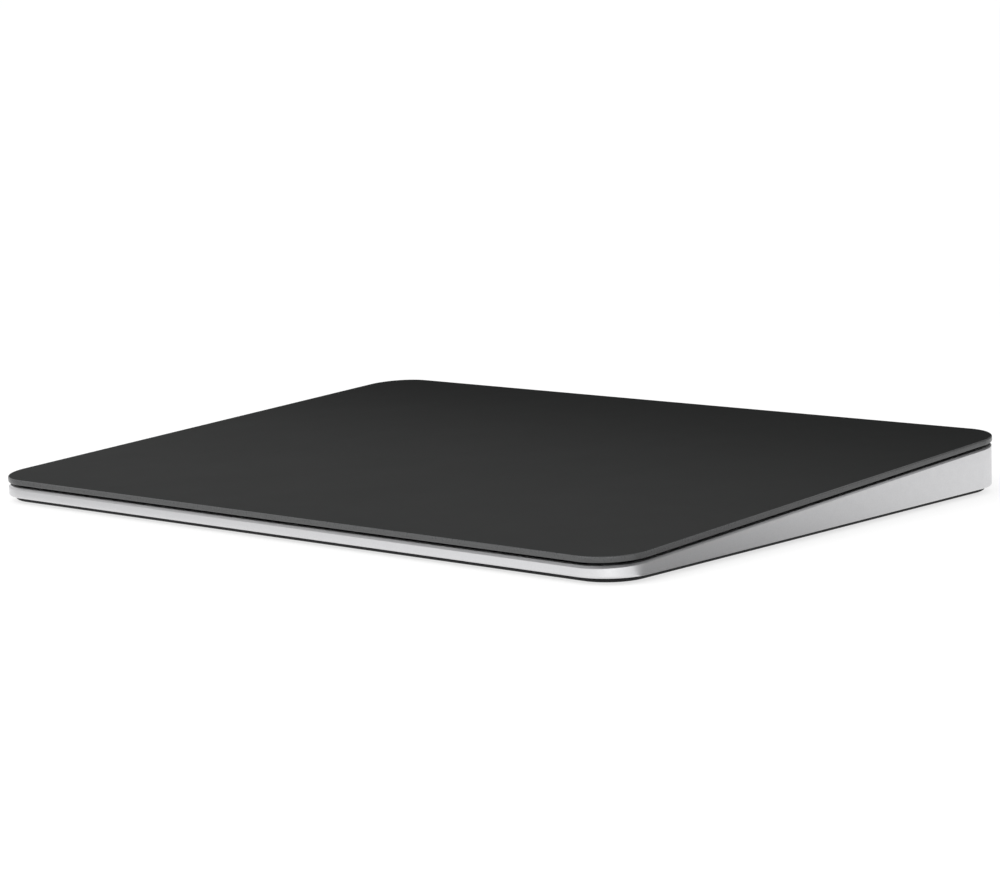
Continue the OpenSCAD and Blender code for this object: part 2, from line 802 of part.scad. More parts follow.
// Knob with grip grooves, its hidden flange and the stem that works the switch
module power_slider() {
    groove_w = 0.35;
    groove_d = 0.25;
    out = rear_wall_out + knob_proud;
    color([0.75, 0.75, 0.77]) difference() {
        union() {
            rear_bar(knob_w, knob_h, knob_x, port_z, flange_y, out);
            translate([knob_x - flange_w / 2, flange_y, port_z - flange_h / 2]) cube([flange_w, flange_t, flange_h]);
            translate([knob_x - stem_w / 2, switch_front + switch_d - stem_l, port_z - stem_h / 2])
                cube([stem_w, flange_y - switch_front - switch_d + stem_l, stem_h]);
        }
        for (k = [-1:1]) translate([knob_x + k * 2 * groove_w - groove_w / 2, out - groove_d, port_z - knob_h])
            cube([groove_w, skin, 2 * knob_h]);
    }
}

// Coloured film on the flange that the slot uncovers in the on position
module on_marker() {
    color([0.2, 0.7, 0.3]) translate([knob_x - knob_w / 2 - switch_travel, flange_y + flange_t, port_z - knob_h / 2])
        cube([switch_travel - knob_fit, marker_t, knob_h]);
}

// Antenna

// Moulded block with two hollows underneath
module antenna_carrier() {
    pocket_w = (antenna_w - 3 * antenna_rim) / 2;
    color([0.85, 0.85, 0.82]) below_slope(stiffener_w - antenna_gap - antenna_t)
        translate([antenna_x - antenna_w / 2, antenna_y - antenna_d / 2, floor_z]) difference() {
            cube([antenna_w, antenna_d, tall]);
            for (k = [0, 1]) translate([antenna_rim + k * (pocket_w + antenna_rim), antenna_rim, -skin])
                cube([pocket_w, antenna_d - 2 * antenna_rim, skin + antenna_pocket]);
        }
}

// Folded copper track on top of the carrier
module antenna_strip() {
    track = antenna_d - 2 * antenna_rim;
    notch_w = antenna_w / (2 * antenna_notches);
    front = antenna_y / cos(tilt) - track / 2;
    color([0.8, 0.5, 0.2]) sloping()
        translate([antenna_x - antenna_w / 2, front, stiffener_w - antenna_gap - antenna_t])
            linear_extrude(antenna_t) difference() {
                square([antenna_w, track]);
                for (k = [1 : antenna_notches]) {
                    side = k % 2 == 0 ? -1 : 1;
                    translate([antenna_w * k / (antenna_notches + 1) - notch_w / 2, side * antenna_arm])
                        square([notch_w, track]);
                }
            }
}

module antenna_cable() {
    from = antenna_x + antenna_w / 2;
    color([0.1, 0.1, 0.1]) translate([from, antenna_y, board_z + board_t / 2]) rotate([0, 90, 0])
        cylinder(r = cable_r, h = -board_left - from);
}

housing();
base_cover();
base_screws();
foot(0);  // foot_front_left
foot(1);  // foot_front_right
foot(2);  // foot_rear_left
foot(3);  // foot_rear_right
touch_glass();
glass_adhesive();
sensor_board();
sensor_chips();
sensor_plug();
plate_stiffener();
armature();
armature_bracket();
gel_pad(-1, leaf_front_y);  // gel_pad_front_left
gel_pad(1, leaf_front_y);  // gel_pad_front_right
gel_pad(-1, leaf_rear_y);  // gel_pad_rear_left
gel_pad(1, leaf_rear_y);  // gel_pad_rear_right
flexure(-1, leaf_front_y);  // flexure_front_left
flexure(1, leaf_front_y);  // flexure_front_right
flexure(-1, leaf_rear_y);  // flexure_rear_left
flexure(1, leaf_rear_y);  // flexure_rear_right
strain_gauges();
flexure_screws();
haptic_core();
haptic_coil(1);  // haptic_coil_1
haptic_coil(2);  // haptic_coil_2
haptic_coil(3);  // haptic_coil_3
haptic_coil(4);  // haptic_coil_4
haptic_screws();
battery(-1);  // battery_left
battery(1);  // battery_right
battery_tapes();
battery_guard_board();
battery_lead();
main_board();
board_chips();
board_shield();
board_screws();
ribbon_latch();
sensor_ribbon();
charge_socket();
socket_tongue();
power_switch();
power_slider();
on_marker();
antenna_carrier();
antenna_strip();
antenna_cable();
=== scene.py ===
import json
import math

import bmesh
import bpy
from mathutils import Matrix, Vector


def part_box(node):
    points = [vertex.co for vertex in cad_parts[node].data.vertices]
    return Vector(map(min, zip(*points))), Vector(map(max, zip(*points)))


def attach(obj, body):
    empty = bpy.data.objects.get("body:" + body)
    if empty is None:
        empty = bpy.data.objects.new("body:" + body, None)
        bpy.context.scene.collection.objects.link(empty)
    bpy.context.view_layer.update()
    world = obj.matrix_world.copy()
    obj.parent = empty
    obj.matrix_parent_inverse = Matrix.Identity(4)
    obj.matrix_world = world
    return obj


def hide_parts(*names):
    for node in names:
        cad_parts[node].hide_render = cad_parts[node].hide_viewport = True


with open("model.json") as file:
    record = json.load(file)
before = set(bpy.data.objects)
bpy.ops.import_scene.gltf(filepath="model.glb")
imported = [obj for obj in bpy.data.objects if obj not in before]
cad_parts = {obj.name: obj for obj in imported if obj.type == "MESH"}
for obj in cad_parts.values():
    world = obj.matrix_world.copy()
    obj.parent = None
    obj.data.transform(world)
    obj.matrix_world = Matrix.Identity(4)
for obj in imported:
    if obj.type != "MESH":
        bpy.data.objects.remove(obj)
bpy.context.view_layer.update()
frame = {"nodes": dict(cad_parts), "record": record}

bl_info = {
    "name": "Wedge trackpad",
    "version": (1, 0, 0),
    "blender": (4, 5, 0),
    "location": "3D View > Sidebar > Trackpad",
    "description": "Glass, metal and rubber looks for a wedge-shaped wireless trackpad",
    "category": "Object",
}

PHOTO_WIDTH_PX = 1000
SENSOR_MM = 36.0
MM = 0.001
TINY = 1e-6
NODES = frame["nodes"]

BASE_LOW, BASE_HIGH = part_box("base_cover")
TONGUE_LOW, TONGUE_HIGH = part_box("socket_tongue")
FEET = ("foot_front_left", "foot_front_right", "foot_rear_left", "foot_rear_right")
FOOT_LOW, FOOT_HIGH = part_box(FEET[0])
FOOT_RADIUS = (FOOT_HIGH.x - FOOT_LOW.x) / 2
FOOT_HEIGHT = FOOT_HIGH.z - FOOT_LOW.z

# Steps of the rounded corners and edges
GLASS_CORNER_STEPS = 40
GLASS_EDGE_STEPS = 5
BASE_CORNER_STEPS = 24
BASE_EDGE_STEPS = 8
FOOT_EDGE_STEPS = 4
FOOT_SIDES = 96
SMOOTH_ANGLE = math.radians(35)

# Slopes that tell a flat face from an edge band
FLAT = 0.99
FACE_UP = 0.9

CONTACTS = 12
FLOOR_WIDTH = 40.0
FLOOR_GRAIN = 1.06
CLIP_START = 0.01


# Sizes, colours and stage settings

class TrackpadSizes(bpy.types.PropertyGroup):
    """Sizes of the modelled pieces"""

    width: bpy.props.FloatProperty(
        name="Width", description="Width of the touch glass", default=160 * MM, unit="LENGTH")
    depth: bpy.props.FloatProperty(
        name="Depth", description="Depth of the touch glass, seen from above", default=114.9 * MM, unit="LENGTH")
    front_height: bpy.props.FloatProperty(
        name="Front height", description="Height of the touch surface at the front edge",
        default=4.9 * MM, unit="LENGTH")
    rear_height: bpy.props.FloatProperty(
        name="Rear height", description="Height of the touch surface at the rear edge",
        default=10.9 * MM, unit="LENGTH")
    corner: bpy.props.FloatProperty(
        name="Corner radius", description="Corner radius of the glass, seen from above",
        default=8.6 * MM, unit="LENGTH")
    glass: bpy.props.FloatProperty(
        name="Glass", description="Thickness of the touch glass", default=1.1 * MM, unit="LENGTH")
    glass_edge: bpy.props.FloatProperty(
        name="Glass edge", description="Radius of the polished glass edges", default=0.25 * MM, unit="LENGTH")
    base_corner: bpy.props.FloatProperty(
        name="Base corner", description="Corner radius of the base cover", default=7.3 * MM, unit="LENGTH")
    base_edge: bpy.props.FloatProperty(
        name="Base edge", description="Rounding of the base cover's lower edge", default=0.75 * MM, unit="LENGTH")
    foot_pocket: bpy.props.FloatProperty(
        name="Foot pocket", description="Depth of a foot's pocket in the base cover",
        default=0.3 * MM, unit="LENGTH")
    foot_edge: bpy.props.FloatProperty(
        name="Foot edge", description="Rounding of a foot's lower edge", default=0.2 * MM, unit="LENGTH")
    contact_width: bpy.props.FloatProperty(
        name="Contact", description="Width of a contact in the charging socket", default=0.26 * MM, unit="LENGTH")
    contact_pitch: bpy.props.FloatProperty(
        name="Contact pitch", description="Spacing of the contacts", default=0.5 * MM, unit="LENGTH")
    contact_lift: bpy.props.FloatProperty(
        name="Contact lift", description="Height of a contact over the tongue", default=0.03 * MM, unit="LENGTH")
    contact_setback: bpy.props.FloatProperty(
        name="Contact setback", description="Gap from the tongue's tip to the contacts",
        default=0.2 * MM, unit="LENGTH")
    contact_share: bpy.props.FloatProperty(
        name="Contact share", description="Share of the tongue's length that a contact covers",
        subtype="FACTOR", default=0.72)


class TrackpadFinishes(bpy.types.PropertyGroup):
    """Colours and roughnesses of the finishes"""

    glass: bpy.props.FloatVectorProperty(
        name="Glass", description="Colour of the etched glass", subtype="COLOR", default=(0.0158, 0.0163, 0.0161))
    # The edge colour, lighter than the glass top, is a painted reflection of the bright surroundings on the side
    # faces.
    glass_edge: bpy.props.FloatVectorProperty(
        name="Glass edge", description="Colour of the ground edge", subtype="COLOR", default=(0.06, 0.061, 0.062))
    shell: bpy.props.FloatVectorProperty(
        name="Shell", description="Colour of the anodised metal", subtype="COLOR", default=(0.7, 0.7, 0.71))
    # The base cover is a real piece; its near-black colour is painted shade for the shadow gap under the metal's
    # lower edge.
    base: bpy.props.FloatVectorProperty(
        name="Base", description="Colour of the base cover", subtype="COLOR", default=(0.01, 0.01, 0.0105))
    rubber: bpy.props.FloatVectorProperty(
        name="Rubber", description="Colour of the feet", subtype="COLOR", default=(0.035, 0.035, 0.036))
    glass_roughness: bpy.props.FloatProperty(
        name="Glass roughness", description="Roughness of the etched glass", subtype="FACTOR", default=0.4)
    shell_roughness: bpy.props.FloatProperty(
        name="Shell roughness", description="Roughness of the anodised metal", subtype="FACTOR", default=0.42)


class TrackpadStage(bpy.types.PropertyGroup):
    """Camera, floor and light"""

    azimuth: bpy.props.FloatProperty(
        name="Azimuth", description="Camera's turn to the right of the front", subtype="ANGLE",
        default=math.radians(42.4765))
    elevation: bpy.props.FloatProperty(
        name="Elevation", description="Camera's height angle", subtype="ANGLE", default=math.radians(8.518))
    roll: bpy.props.FloatProperty(
        name="Roll", description="Camera's roll", subtype="ANGLE", default=math.radians(-1.8266))
    distance: bpy.props.FloatProperty(
        name="Distance", description="Camera's distance from its target", default=660.876 * MM, unit="LENGTH")
    target: bpy.props.FloatVectorProperty(
        name="Target", description="Point at the picture's centre", subtype="XYZ",
        default=(-43.9375 * MM, 51.1252 * MM, 1.23 * MM))
    focal_px: bpy.props.FloatProperty(
        name="Focal length", description="Focal length in picture pixels", default=3096.68)
    floor_glow: bpy.props.FloatProperty(
        name="Floor glow", description="Share of the floor's white that stays in the shade",
        subtype="FACTOR", default=0.7)
    ambient: bpy.props.FloatProperty(
        name="Ambient", description="Strength of the light from all round", default=1.0)


def sizes():
    return bpy.context.scene.trackpad_sizes


def finishes():
    return bpy.context.scene.trackpad_finishes


def stage():
    return bpy.context.scene.trackpad_stage


# Modelling helpers

def deselect():
    if bpy.context.object and bpy.context.object.mode != "OBJECT":
        bpy.ops.object.mode_set(mode="OBJECT")
    bpy.ops.object.select_all(action="DESELECT")


def pick(kind, test):
    """Selects the edges or faces of the mesh in edit mode that pass a test."""
    mesh = bpy.context.edit_object.data
    bpy.ops.mesh.select_mode(type=kind)
    bpy.ops.mesh.select_all(action="DESELECT")
    shape = bmesh.from_edit_mesh(mesh)
    for item in shape.edges if kind == "EDGE" else shape.faces:
        item.select_set(bool(test(item)))
    bmesh.update_edit_mesh(mesh)


def level(edge, height):
    return all(abs(v.co.z - height) < TINY for v in edge.verts)


def name_piece(name):
    piece = bpy.context.object
    piece.name = name
    piece.data.name = name
    return piece


def rounded_slab(name, width, depth, low, high, corner, steps):
    """Leaves a slab with round corners in edit mode."""
    deselect()
    bpy.ops.mesh.primitive_cube_add(size=1.0)
    slab = name_piece(name)
    bpy.ops.object.mode_set(mode="EDIT")
    bpy.ops.mesh.select_all(action="SELECT")
    bpy.ops.transform.resize(value=(width, depth, high - low))
    bpy.ops.transform.translate(value=(0, 0, (low + high) / 2))
    pick("EDGE", lambda e: abs(e.verts[0].co.z - e.verts[1].co.z) > TINY)
    bpy.ops.mesh.bevel(offset=corner, segments=steps, affect="EDGES")
    return slab


def round_rim(height, radius, steps):
    """Rounds the edges at one height and rings the flat face inside with a narrow band."""
    pick("EDGE", lambda e: level(e, height))
    bpy.ops.mesh.bevel(offset=radius, segments=steps, affect="EDGES")
    pick("FACE", lambda f: abs(f.calc_center_median().z - height) < TINY and abs(f.normal.z) > FLAT)
    bpy.ops.mesh.inset(thickness=radius)


def close_piece(piece, material):
    """Ends the edit, smooths the shading and settles the object at the origin."""
    deselect()
    piece.select_set(True)
    bpy.context.view_layer.objects.active = piece
    bpy.ops.object.transform_apply(location=True, rotation=True, scale=True)
    bpy.ops.object.shade_smooth_by_angle(angle=SMOOTH_ANGLE)
    piece.data.materials.clear()
    piece.data.materials.append(material)


def dress(name, material):
    """Gives a CAD node its material."""
    node = NODES[name]
    node.data.materials.clear()
    node.data.materials.append(material)


def cut(piece, tool):
    """Cuts the tool's shape out of a piece and removes the tool."""
    deselect()
    piece.select_set(True)
    bpy.context.view_layer.objects.active = piece
    bpy.ops.object.modifier_add(type="BOOLEAN")
    step = piece.modifiers[-1]
    step.operation = "DIFFERENCE"
    step.solver = "EXACT"
    step.object = tool
    bpy.ops.object.modifier_apply(modifier=step.name)
    deselect()
    tool.select_set(True)
    bpy.ops.object.delete()


# Material helpers

class Finish:
    """A node material that is built step by step on object coordinates."""

    def __init__(self, name, colour, roughness, metallic=0.0, specular=0.5):
        self.material = bpy.data.materials.new(name)
        self.material.use_nodes = True
        self.tree = self.material.node_tree
        self.shader = self.tree.nodes["Principled BSDF"]
        self.colour = tuple(colour)[:3]
        self.shader.inputs["Base Color"].default_value = (*self.colour, 1)
        self.shader.inputs["Roughness"].default_value = roughness
        self.shader.inputs["Metallic"].default_value = metallic
        self.shader.inputs["Specular IOR Level"].default_value = specular
        self.roughness = roughness
        self.place = self.add("ShaderNodeTexCoord").outputs["Object"]
        self.height = None

    def add(self, kind, **values):
        node = self.tree.nodes.new(kind)
        for key, value in values.items():
            if hasattr(node, key):
                setattr(node, key, value)
            else:
                node.inputs[key.replace("_", " ").title()].default_value = value
        return node

    def link(self, source, target):
        self.tree.links.new(source, target)

    def noise(self, scale, detail=2.0, stretch=None):
        node = self.add("ShaderNodeTexNoise", Scale=scale, Detail=detail)
        source = self.place
        if stretch:
            turn = self.add("ShaderNodeMapping")
            turn.inputs["Scale"].default_value = stretch
            self.link(self.place, turn.inputs["Vector"])
            source = turn.outputs["Vector"]
        self.link(source, node.inputs["Vector"])
        return node.outputs["Fac"]

    def cells(self, scale, feature="F1"):
        node = self.add("ShaderNodeTexVoronoi", Scale=scale)
        node.feature = feature
        self.link(self.place, node.inputs["Vector"])
        return node.outputs["Distance"]

    def spread(self, value, low, high, start=0.0, end=1.0):
        node = self.add("ShaderNodeMapRange")
        node.inputs["From Min"].default_value = start
        node.inputs["From Max"].default_value = end
        node.inputs["To Min"].default_value = low
        node.inputs["To Max"].default_value = high
        self.link(value, node.inputs["Value"])
        return node.outputs["Result"]

    def vary_roughness(self, value, swing, start=0.3, end=0.7):
        low, high = self.roughness - swing, self.roughness + swing
        self.link(self.spread(value, low, high, start, end), self.shader.inputs["Roughness"])
        return self

    def vary_colour(self, value, other, start=0.3, end=0.7):
        mix = self.add("ShaderNodeMix", data_type="RGBA")
        mix.inputs[6].default_value = (*self.colour, 1)
        mix.inputs[7].default_value = (*tuple(other)[:3], 1)
        self.link(self.spread(value, 0, 1, start, end), mix.inputs[0])
        self.link(mix.outputs[2], self.shader.inputs["Base Color"])
        return self

    def emboss(self, value, distance, strength=1.0):
        bump = self.add("ShaderNodeBump")
        bump.inputs["Strength"].default_value = strength
        bump.inputs["Distance"].default_value = distance
        self.link(value, bump.inputs["Height"])
        if self.height:
            self.link(self.height, bump.inputs["Normal"])
        self.height = bump.outputs["Normal"]
        self.link(self.height, self.shader.inputs["Normal"])
        return self


def shade(colour, factor):
    return tuple(c * factor for c in tuple(colour)[:3])


def etched_glass():
    look = Finish("etched_black_glass", finishes().glass, finishes().glass_roughness, specular=0.015)
    look.vary_roughness(look.noise(90, 3), 0.008)
    look.vary_colour(look.noise(7000, 2), shade(finishes().glass, 1.1))
    look.emboss(look.noise(9000, 2), 1.2e-6)
    return look.material


# Side-face glass, coloured lighter than the top: a painted reflection of the bright surroundings.
def glass_edge_painted_reflection():
    look = Finish("glass_edge_painted_reflection", finishes().glass_edge, 0.3, specular=0.4)
    look.vary_roughness(look.noise(2500, 2), 0.06)
    look.vary_colour(look.noise(400, 2, (1, 1, 8)), shade(finishes().glass_edge, 1.15))
    return look.material


def blasted_metal():
    look = Finish("blasted_anodised_metal", finishes().shell, finishes().shell_roughness, metallic=1.0)
    look.vary_roughness(look.noise(700, 3), 0.03)
    look.vary_colour(look.noise(5200, 2), shade(finishes().shell, 0.94))
    look.emboss(look.cells(7000), 2.2e-6, 0.5)
    look.emboss(look.noise(12000, 2), 1.5e-6, 0.5)
    return look.material


def moulded(name, colour, roughness=0.5, grain=3000, depth=4e-6, specular=0.5):
    look = Finish(name, colour, roughness, specular=specular)
    look.vary_roughness(look.noise(grain / 3, 2), 0.05)
    look.vary_colour(look.noise(grain / 6, 2), shade(colour, 1.12))
    look.emboss(look.noise(grain, 3), depth)
    return look.material


def rubber():
    look = Finish("foot_rubber", finishes().rubber, 0.72, specular=0.3)
    look.vary_colour(look.noise(900, 3), shade(finishes().rubber, 1.25))
    look.emboss(look.noise(5200, 3), 8e-6)
    return look.material


def rolled_metal(name, colour, roughness=0.34, stretch=(1, 24, 24), scale=160):
    look = Finish(name, colour, roughness, metallic=1.0)
    streaks = look.noise(scale, 3, stretch)
    look.vary_roughness(streaks, 0.08)
    look.vary_colour(streaks, shade(colour, 0.86))
    look.emboss(streaks, 3e-6, 0.4)
    return look.material


def wound_wire(name, colour, pitch=0.16 * MM):
    look = Finish(name, colour, 0.32, metallic=0.85)
    turns = look.add("ShaderNodeTexWave", Scale=1 / pitch / math.tau, Distortion=0.4)
    turns.bands_direction = "X"
    look.link(look.place, turns.inputs["Vector"])
    look.vary_colour(turns.outputs["Fac"], shade(colour, 0.5), 0.1, 0.9)
    look.emboss(turns.outputs["Fac"], 3e-5)
    return look.material


def circuit_board(name, colour, tracks=(0.35, 0.24, 0.08)):
    look = Finish(name, colour, 0.36, specular=0.5)
    brick = look.add("ShaderNodeTexBrick", Scale=260.0)
    brick.inputs["Mortar Size"].default_value = 0.03
    look.link(look.place, brick.inputs["Vector"])
    look.vary_colour(brick.outputs["Fac"], tracks, 0.2, 0.8)
    look.emboss(brick.outputs["Fac"], 1.5e-5)
    look.vary_roughness(look.noise(300, 2), 0.06)
    return look.material


def foil_pouch(name, colour):
    look = Finish(name, colour, 0.38, metallic=0.25)
    wrinkles = look.noise(130, 4)
    look.vary_roughness(wrinkles, 0.1)
    look.vary_colour(wrinkles, shade(colour, 1.3))
    look.emboss(wrinkles, 1.2e-4)
    return look.material


def soft_gel(name, colour):
    look = Finish(name, colour, 0.3, specular=0.5)
    look.shader.inputs["Subsurface Weight"].default_value = 0.2
    look.shader.inputs["Subsurface Radius"].default_value = (0.001, 0.001, 0.001)
    look.vary_colour(look.noise(900, 2), shade(colour, 0.9))
    return look.material


# Pieces

class TRACKPAD_OT_touch_glass(bpy.types.Operator):
    """Models the etched glass with its polished edges"""

    bl_idname = "trackpad.touch_glass"
    bl_label = "Touch glass"

    def execute(self, context):
        size = sizes()
        tilt = math.atan2(size.rear_height - size.front_height, size.depth)
        length = size.depth / math.cos(tilt)
        slab = rounded_slab(
            "touch_glass_slab", size.width, length, -size.glass, 0, size.corner, GLASS_CORNER_STEPS)
        for height in (0, -size.glass):
            round_rim(height, size.glass_edge, GLASS_EDGE_STEPS)
        bpy.ops.object.mode_set(mode="OBJECT")
        slab.rotation_euler.x = tilt
        slab.location.z = (size.front_height + size.rear_height) / 2
        close_piece(slab, etched_glass())
        slab.data.materials.append(glass_edge_painted_reflection())
        bpy.ops.object.mode_set(mode="EDIT")
        # Faces that don't face up get the lighter edge colour, a painted reflection of the bright surroundings.
        pick("FACE", lambda f: abs(f.normal.z) < FACE_UP)
        slab.active_material_index = 1
        bpy.ops.object.material_slot_assign()
        deselect()
        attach(slab, "touch_plate")
        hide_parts("touch_glass")
        return {"FINISHED"}


class TRACKPAD_OT_shell(bpy.types.Operator):
    """Finishes the metal tub and the power knob"""

    bl_idname = "trackpad.shell"
    bl_label = "Metal shell"

    def execute(self, context):
        metal = blasted_metal()
        for name in ("housing", "power_slider"):
            dress(name, metal)
        return {"FINISHED"}


class TRACKPAD_OT_base_cover(bpy.types.Operator):
    """Models the base cover with its pockets for the feet; the piece is real, and its near-black tone is painted
    shade for the gap under the metal's lower edge
    """

    bl_idname = "trackpad.base_cover"
    bl_label = "Base cover"

    def execute(self, context):
        size = sizes()
        span = BASE_HIGH - BASE_LOW
        cover = rounded_slab(
            "base_cover_plate", span.x, span.y, BASE_LOW.z, BASE_HIGH.z, size.base_corner, BASE_CORNER_STEPS)
        round_rim(BASE_LOW.z, size.base_edge, BASE_EDGE_STEPS)
        bpy.ops.object.mode_set(mode="OBJECT")
        top = BASE_LOW.z + size.foot_pocket
        for foot in FEET:
            low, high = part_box(foot)
            middle = (low + high) / 2
            deselect()
            bpy.ops.mesh.primitive_cylinder_add(
                vertices=FOOT_SIDES, radius=FOOT_RADIUS, depth=2 * MM, location=(middle.x, middle.y, top - MM))
            cut(cover, bpy.context.object)
        # Near-black base tone: painted shade for the shadow gap under the metal's lower edge.
        close_piece(cover, moulded("base_polymer", finishes().base, 0.62, 5200, 6e-6, 0.15))
        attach(cover, "base")
        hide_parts("base_cover")
        return {"FINISHED"}


class TRACKPAD_OT_feet(bpy.types.Operator):
    """Models one rubber foot and copies it to the four corners"""

    bl_idname = "trackpad.feet"
    bl_label = "Rubber feet"

    def execute(self, context):
        size = sizes()
        material = rubber()
        pattern = None
        for name in FEET:
            low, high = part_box(name)
            deselect()
            if pattern is None:
                bpy.ops.mesh.primitive_cylinder_add(
                    vertices=FOOT_SIDES, radius=FOOT_RADIUS, depth=FOOT_HEIGHT, location=(0, 0, FOOT_HEIGHT / 2))
                bpy.ops.object.transform_apply(location=True)
                foot = name_piece(name + "_pad")
                bpy.ops.object.mode_set(mode="EDIT")
                round_rim(0, size.foot_edge, FOOT_EDGE_STEPS)
                bpy.ops.object.mode_set(mode="OBJECT")
                pattern = foot.data.copy()
            else:
                foot = bpy.data.objects.new(name + "_pad", pattern.copy())
                context.scene.collection.objects.link(foot)
                foot.data.name = foot.name
            foot.location = ((low.x + high.x) / 2, (low.y + high.y) / 2, low.z)
            close_piece(foot, material)
            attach(foot, "base")
            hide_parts(name)
        bpy.data.meshes.remove(pattern)
        return {"FINISHED"}


class TRACKPAD_OT_charge_socket(bpy.types.Operator):
    """Finishes the charging socket and models the contacts on its tongue"""

    bl_idname = "trackpad.charge_socket"
    bl_label = "Charging socket"

    def execute(self, context):
        size = sizes()
        dress("charge_socket", rolled_metal("drawn_steel", (0.62, 0.62, 0.63), 0.3, (24, 1, 24)))
        dress("socket_tongue", moulded("socket_core", (0.02, 0.02, 0.02), 0.45, 4000, 3e-6))
        lift = size.contact_lift
        length = size.contact_share * (TONGUE_HIGH.y - TONGUE_LOW.y)
        start = -(CONTACTS - 1) / 2 * size.contact_pitch
        deselect()
        bpy.ops.mesh.primitive_cube_add(size=1.0)
        contacts = name_piece("socket_contacts")
        bpy.ops.object.mode_set(mode="EDIT")
        bpy.ops.mesh.select_all(action="SELECT")
        bpy.ops.transform.resize(value=(size.contact_width, length, 2 * lift))
        pick("EDGE", lambda e: level(e, lift) or level(e, -lift))
        bpy.ops.mesh.bevel(offset=lift / 2, segments=2, affect="EDGES")
        bpy.ops.mesh.select_all(action="SELECT")
        bpy.ops.transform.translate(
            value=(start, TONGUE_HIGH.y - size.contact_setback - length / 2, TONGUE_HIGH.z))
        bpy.ops.object.mode_set(mode="OBJECT")
        both_sides = TONGUE_LOW.z - TONGUE_HIGH.z
        for count, step in ((CONTACTS, (size.contact_pitch, 0, 0)), (2, (0, 0, both_sides))):
            bpy.ops.object.modifier_add(type="ARRAY")
            row = contacts.modifiers[-1]
            row.count = count
            row.use_relative_offset = False
            row.use_constant_offset = True
            row.constant_offset_displace = step
            bpy.ops.object.modifier_apply(modifier=row.name)
        close_piece(contacts, rolled_metal("plated_contact", (0.83, 0.62, 0.26), 0.25, (24, 1, 24)))
        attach(contacts, "base")
        return {"FINISHED"}


class TRACKPAD_OT_inner_parts(bpy.types.Operator):
    """Finishes the boards, cells, springs and haptic drive inside the shell"""

    bl_idname = "trackpad.inner_parts"
    bl_label = "Inner parts"

    def execute(self, context):
        looks = {
            "screw_steel": rolled_metal("turned_screw_steel", (0.42, 0.42, 0.43), 0.32),
            "film_adhesive": moulded("adhesive_film", (0.01, 0.01, 0.01), 0.5, 900, 2e-6, 0.2),
            "circuit_black": circuit_board("black_solder_mask", (0.008, 0.008, 0.0085), (0.02, 0.02, 0.02)),
            "circuit_green": circuit_board("solder_mask", (0.02, 0.12, 0.06)),
            "chip_black": moulded("chip_resin", (0.03, 0.03, 0.03), 0.5, 6000, 5e-6),
            "connector_ivory": moulded("connector_resin", (0.72, 0.67, 0.54), 0.45, 3000, 3e-6),
            "sheet_steel": rolled_metal("rolled_sheet_steel", (0.6, 0.6, 0.61)),
            "magnet_steel": rolled_metal("laminated_steel", (0.3, 0.31, 0.33), 0.42, (1, 1, 30), 220),
            "gel": soft_gel("shear_gel", (0.62, 0.62, 0.66)),
            "spring_steel": rolled_metal("spring_steel", (0.55, 0.56, 0.58), 0.28),
            "gauge_film": moulded("polyimide_film", (0.68, 0.36, 0.06), 0.3, 1200, 2e-6),
            "coil_copper": wound_wire("enamelled_copper", (0.72, 0.34, 0.16)),
            "cell_pouch": foil_pouch("cell_pouch_foil", (0.16, 0.16, 0.17)),
            "cell_tape": moulded("mounting_tape", (0.8, 0.8, 0.78), 0.6, 2000, 4e-6),
            "switch_body": moulded("switch_resin", (0.04, 0.04, 0.04), 0.5, 4000, 4e-6),
            "marker_green": moulded("marker_film", (0.06, 0.45, 0.12), 0.4, 3000, 2e-6),
            "antenna_resin": moulded("antenna_resin", (0.74, 0.74, 0.7), 0.5, 3000, 4e-6),
            "antenna_copper": rolled_metal("plated_copper", (0.75, 0.43, 0.2), 0.3),
            "cable_jacket": moulded("cable_jacket", (0.03, 0.03, 0.03), 0.5, 5000, 4e-6),
        }
        for part in frame["record"]["subparts"]:
            if part["material_slot"] in looks:
                dress(part["node"], looks[part["material_slot"]])
        return {"FINISHED"}


# Stage

def backdrop_rays(tree):
    """A factor that is 1 for the rays that see the backdrop as a picture."""
    path = tree.nodes.new("ShaderNodeLightPath")
    total = path.outputs["Is Camera Ray"]
    for ray in ("Is Glossy Ray", "Is Transmission Ray"):
        step = tree.nodes.new("ShaderNodeMath")
        step.operation = "MAXIMUM"
        tree.links.new(total, step.inputs[0])
        tree.links.new(path.outputs[ray], step.inputs[1])
        total = step.outputs[0]
    return total


def white_world():
    world = bpy.data.worlds.new("studio")
    world.use_nodes = True
    bpy.context.scene.world = world
    tree = world.node_tree
    ambient = tree.nodes["Background"]
    ambient.inputs["Color"].default_value = (1, 1, 1, 1)
    ambient.inputs["Strength"].default_value = stage().ambient
    white = tree.nodes.new("ShaderNodeBackground")
    white.inputs["Color"].default_value = (1, 1, 1, 1)
    white.inputs["Strength"].default_value = 1.0
    mix = tree.nodes.new("ShaderNodeMixShader")
    tree.links.new(backdrop_rays(tree), mix.inputs["Fac"])
    tree.links.new(ambient.outputs[0], mix.inputs[1])
    tree.links.new(white.outputs[0], mix.inputs[2])
    tree.links.new(mix.outputs[0], tree.nodes["World Output"].inputs["Surface"])


